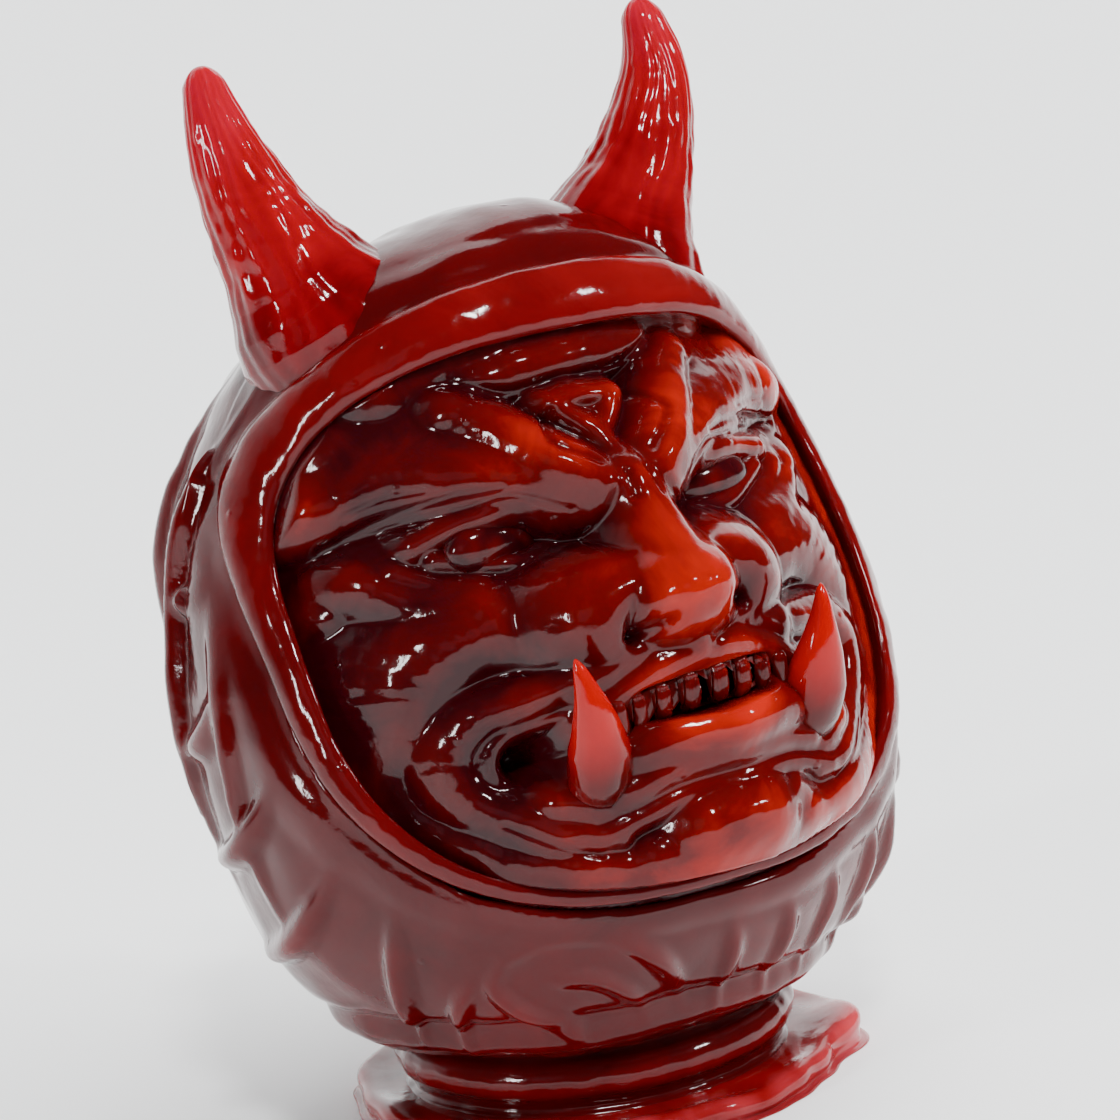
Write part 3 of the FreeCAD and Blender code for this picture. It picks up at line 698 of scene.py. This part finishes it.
def horn_detail(angle, t, centre):
    turn = np.stack([3.0 * np.cos(angle), 3.0 * np.sin(angle), 10.0 * t], -1)
    deep = smooth_step(-0.3, 0.9, cloud(turn, 7.0, 11))
    grooves = 0.085 * deep * np.cos(13.0 * angle + 1.8 * cloud(turn, 6.0))
    grooves = grooves + 0.03 * np.cos(22.0 * angle + 2.4 * cloud(turn, 4.0, 5))
    rings = (0.008 + 0.02 * deep) * np.sin(2.0 * np.pi * (11.0 * t + 0.5 * cloud(turn, 5.0, 3)))
    bumps = 0.12 * np.clip(cloud(turn, 1.3, 8) - 1.15, 0.0, 1.0)
    fade = 1.0 - 0.75 * smooth_step(0.72, 0.95, t)
    lift = (grooves + rings + 0.03 * cloud(turn, 1.6, 2)) * fade + bumps
    # Painted glow towards the tip and on the ridges, painted shade in the grooves, darker towards the root,
    # and random tone.
    painted_light_and_tone = 0.36 + 0.32 * smooth_step(0.45, 1.0, t) + 0.8 * grooves
    painted_light_and_tone = painted_light_and_tone - 0.16 * smooth_step(0.42, 0.18, t) + 0.05 * cloud(turn, 3.0, 6)
    return lift, painted_light_and_tone


def tusk_detail(angle, t, centre):
    lift = 0.02 * cloud(centre * 1.0 + angle[:, None] * 0.3, 2.0)
    # Darker towards the root, with a painted side light that makes the side towards the figurine's own right
    # lighter.
    painted_light_and_tone = 0.52 - 0.42 * smooth_step(0.66, 0.26, t) + 0.08 * np.cos(angle)
    return lift, painted_light_and_tone


def make_horns_and_tusks():
    horn_table = [(0.0, 4.4), (0.12, 4.4), (0.2, 4.0), (0.28, 3.4), (0.38, 2.85), (0.5, 2.4),
            (0.62, 2.05), (0.75, 1.65), (0.88, 1.2), (1.0, 0.78)]
    tusk_table = [(0.0, 1.3), (0.25, 1.45), (0.42, 1.38), (0.6, 1.04), (0.8, 0.58), (1.0, 0.16)]
    for sign, word, root in ((1, "left", 0.9), (-1, "right", 0.0)):
        path = [(sign * x, y, z) for x, y, z in ((7.2 - root, 2.0, 36.2), (8.5 - root, 2.5, 39.0),
                (10.0 - 0.2 * root, 3.1, 42.6),
                                                 (11.0 + 0.3 * root, 3.8, 46.3), (11.3, 4.6, 49.9))]
        make_shoot(word + "_horn_carved", word + "_horn", horn_resin, path, horn_table,
                   0.07, horn_detail)
        spots = []
        for u, v, h in ((5.2, -8.4, 0.6), (5.4, -7.0, 2.4), (5.7, -5.0, 3.8), (6.0, -3.4, 4.4),
                (6.2, -2.2, 4.6)):
            pu, pv = tilt(sign * u, v, FACE_TILT)
            spots.append(tuple(face_point(pu, pv, h)))
        make_shoot(word + "_tusk_carved", word + "_tusk", tusk_resin, spots, tusk_table,
                   0.08, tusk_detail, 64, 100)


def make_eyes():
    for sign, word in ((1, "left"), (-1, "right")):
        bm, angle, share = ball(64, 48)
        p = np.array([w.co[:] for w in bm.verts])
        u, v = tilt(sign * (5.2 + 2.7 * p[:, 0]), 3.4 + 1.5 * p[:, 2] + 0.02 * cloud(p, 0.9), FACE_TILT)
        points = face_point(u, v, -2.1 - 1.5 * p[:, 1] - 0.35 * sign * p[:, 0])
        painted_light_and_tone = 0.2 + 0.15 * cloud(points, 1.2)
        place_all(bm, points)
        finish_piece(bm, word + "_eyeball", [word + "_eye"], face_resin, painted_light_and_tone)


def make_teeth():
    bm = bmesh.new()
    places = []
    spots = [(-4.1, -5.4, 0.4), (-3.15, -5.25, 0.45), (-2.0, -5.1, 0.5), (-0.7, -5.0, 0.52),
            (0.7, -5.0, 0.52), (2.0, -5.1, 0.5),
             (3.15, -5.25, 0.45), (4.1, -5.4, 0.4)]
    for k, (u, v, half) in enumerate(spots):
        before = len(bm.verts)
        bmesh.ops.create_uvsphere(bm, u_segments=36, v_segments=26, radius=1.0)
        bm.verts.ensure_lookup_table()
        p = np.array([w.co[:] for w in bm.verts[before:]])
        p = np.sign(p) * np.abs(p) ** 0.62
        pu, pv = tilt(u + half * p[:, 0] * (1.0 + 0.12 * p[:, 2]), v + 0.95 * p[:, 2], FACE_TILT)
        h = 2.75 - 0.13 * abs(u) + 0.95 * -p[:, 1] + 0.2 * p[:, 2] + 0.12 * math.sin(5.0 * k)
        places.append(face_point(pu, pv, h))
    points = np.concatenate(places)
    points = points + 0.03 * cloud(points, 1.1)[:, None]
    place_all(bm, points)
    painted_light_and_tone = 0.44 + 0.1 * cloud(points, 1.5)
    return finish_piece(bm, "teeth", ["upper_teeth"], face_resin, painted_light_and_tone)


# ---- foot ----------------------------------------------------------------
def turned(name, node, material, profile, middle, outline, shade, around=360, rings=120):
    """A closed round body from (radius, height) points, its outline made uneven."""
    bm, angle, share = ball(around, rings)
    profile = rounded([(r, z, 0.0) for r, z in profile], 6)
    travel = np.concatenate([[0.0], np.cumsum(np.hypot(np.diff(profile[:, 0]), np.diff(profile[:, 1])))])
    travel /= travel[-1]
    radius = np.clip(np.interp(share, travel, profile[:, 0]), 0.0, None)
    z = np.interp(share, travel, profile[:, 1])
    scale, rise = outline(angle, radius, z)
    points = np.stack([radius * scale * np.cos(angle), middle + radius * scale * np.sin(angle), z + rise], -1)
    place_all(bm, points)
    return finish_piece(bm, name, [node], material, shade(angle, radius, z, points))


def make_foot():
    def neck(angle, radius, z):
        ring = np.stack([9.0 * np.cos(angle), 9.0 * np.sin(angle), z], -1)
        return 1.0 + 0.006 * cloud(ring, 5.0) + 0.003 * cloud(ring, 1.5, 4), 0.0 * z

    def neck_shade(angle, radius, z, points):
        # Painted glow in a band round the bulge of the neck, with random tone.
        return 0.34 + 0.3 * smooth_step(3.4, 2.4, z) * smooth_step(1.4, 2.4, z) + 0.05 * cloud(points, 5.0)

    turned("foot_neck", "foot_ring", robe_resin,
           [(0, 4.5), (8.4, 4.5), (8.5, 4.0), (8.7, 3.75), (9.3, 3.5), (9.65, 2.9), (9.5, 2.2),
            (9.0, 1.7), (8.9, 1.3), (8.6, 0.9), (0, 0.9)],
           0.5, neck, neck_shade)

    def skirt(angle, radius, z):
        ring = np.stack([11.0 * np.cos(angle), 11.0 * np.sin(angle), 0 * z], -1)
        edge = smooth_step(8.8, 11.0, radius)
        lump = np.exp(-(np.angle(np.exp(1j * (angle + 0.42))) / 0.2) ** 2)
        tongue = np.exp(-(np.angle(np.exp(1j * (angle - 3.95))) / 0.12) ** 2)
        wander = 0.022 * cloud(ring, 12.0) + 0.010 * cloud(ring, 3.0, 3)
        scale = 1.0 + edge * (wander + 0.075 * lump + 0.05 * tongue)
        rise = (z > 0.3) * edge * (0.12 * cloud(ring, 6.0, 5) + 0.5 * lump)
        return scale, rise

    def skirt_shade(angle, radius, z, points):
        # Painted highlight along the outer rounded edge and painted glow on the lump, with random tone.
        lump = np.exp(-(np.angle(np.exp(1j * (angle + 0.42))) / 0.22) ** 2)
        painted_light_and_tone = 0.42 + 0.22 * smooth_step(9.5, 11.8, radius)
        return painted_light_and_tone + 0.35 * lump * smooth_step(9.5, 11.0, radius) + 0.07 * cloud(points, 3.5)

    turned("pour_skirt", "pour_flash", foot_resin,
           [(0, 1.15), (9.2, 1.1), (10.6, 1.15), (11.2, 1.2), (11.55, 0.95), (11.6, 0.5), (11.4, 0.08),
            (11.0, 0.0), (0, 0.0)],
           0.3, skirt, skirt_shade, 420, 120)


# ---- floor, light and camera ---------------------------------------------
def pale(name, colour):
    material = bpy.data.materials.new(name)
    material.use_nodes = True
    nodes = material.node_tree.nodes
    shader = nodes["Principled BSDF"]
    shader.inputs["Base Color"].default_value = (*colour, 1.0)
    shader.inputs["Roughness"].default_value = 0.7
    place = nodes.new("ShaderNodeTexCoord")
    grain = nodes.new("ShaderNodeTexNoise")
    grain.inputs["Scale"].default_value = 300.0
    bump = nodes.new("ShaderNodeBump")
    bump.inputs["Strength"].default_value = 0.03
    bump.inputs["Distance"].default_value = 0.0003
    material.node_tree.links.new(place.outputs["Object"], grain.inputs["Vector"])
    material.node_tree.links.new(grain.outputs["Fac"], bump.inputs["Height"])
    material.node_tree.links.new(bump.outputs["Normal"], shader.inputs["Normal"])
    return material


def make_stage():
    bm = bmesh.new()
    bmesh.ops.create_grid(bm, x_segments=2, y_segments=60, size=1.0)
    for vert in bm.verts:
        s = (vert.co.y + 1.0) * 0.5 * 2.4
        if s < 1.0:
            y, z = s - 0.75, 0.0
        elif s < 1.63:
            a = (s - 1.0) / 0.63 * math.pi / 2
            y, z = 0.25 + 0.4 * math.sin(a), 0.4 - 0.4 * math.cos(a)
        else:
            y, z = 0.65, 0.4 + (s - 1.63)
        vert.co = (vert.co.x * 1.6, y, z - 0.00002)
    mesh = bpy.data.meshes.new("floor")
    bm.to_mesh(mesh)
    bm.free()
    mesh.polygons.foreach_set("use_smooth", [True] * len(mesh.polygons))
    mesh.materials.append(pale("pale_floor", (0.90, 0.91, 0.915)))
    floor = bpy.data.objects.new("floor", mesh)
    bpy.context.scene.collection.objects.link(floor)


def lamp(name, place, aim, size, power, tint=(1, 1, 1), mirrored=True):
    data = bpy.data.lights.new(name, "AREA")
    data.shape = "RECTANGLE"
    data.size, data.size_y = size
    data.energy = power
    data.color = tint
    thing = bpy.data.objects.new(name, data)
    bpy.context.scene.collection.objects.link(thing)
    thing.location = place
    thing.rotation_euler = (Vector(aim) - Vector(place)).to_track_quat("-Z", "Y").to_euler()
    thing.visible_glossy = mirrored


def make_light():
    world = bpy.data.worlds.new("room")
    bpy.context.scene.world = world
    world.use_nodes = True
    world.node_tree.nodes["Background"].inputs["Color"].default_value = (0.95, 0.97, 1.0, 1.0)
    world.node_tree.nodes["Background"].inputs["Strength"].default_value = 0.06
    middle = (0.0, 0.0, 0.025)
    lamp("ceiling", (0.5, 0.0, 1.0), middle, (1.3, 1.3), 27.0, mirrored=False)
    lamp("key", (0.7, -0.7, 0.55), middle, (0.6, 0.6), 7.0, mirrored=False)
    lamp("fill", (-0.7, -0.9, 0.5), middle, (0.8, 0.8), 1.5, mirrored=False)
    lamp("window_left", (-0.75, -0.55, 0.42), middle, (0.34, 0.42), 0.17, (1.0, 0.62, 0.74))
    lamp("lamp_top", (-0.12, -0.42, 0.62), middle, (0.10, 0.05), 3.4)
    lamp("lamp_left", (-0.62, -0.10, 0.22), middle, (0.05, 0.16), 2.0)
    lamp("lamp_right", (0.42, -0.45, 0.45), middle, (0.08, 0.08), 2.0)


def make_camera():
    turn, rise, roll = (math.radians(a) for a in (-25.5, 11.0, -7.5))
    back = Vector((math.sin(turn) * math.cos(rise), -math.cos(turn) * math.cos(rise), math.sin(rise)))
    right = Vector((math.cos(turn), math.sin(turn), 0.0))
    up = back.cross(right)
    x = right * math.cos(roll) + up * math.sin(roll)
    y = -right * math.sin(roll) + up * math.cos(roll)
    target = right * 0.00111 + Vector((0.0, 0.0, 0.02507))
    place = target + back * 0.180
    data = bpy.data.cameras.new("camera")
    data.sensor_width = 36.0
    data.lens = 124.3
    data.clip_start = 0.01
    thing = bpy.data.objects.new("camera", data)
    bpy.context.scene.collection.objects.link(thing)
    rows = [(x[k], y[k], back[k], place[k]) for k in range(3)]
    thing.matrix_world = Matrix(rows + [(0, 0, 0, 1)])
    bpy.context.scene.camera = thing


make_robe()
make_rim()
make_face()
make_horns_and_tusks()
make_eyes()
make_teeth()
make_foot()
make_stage()
make_light()
make_camera()
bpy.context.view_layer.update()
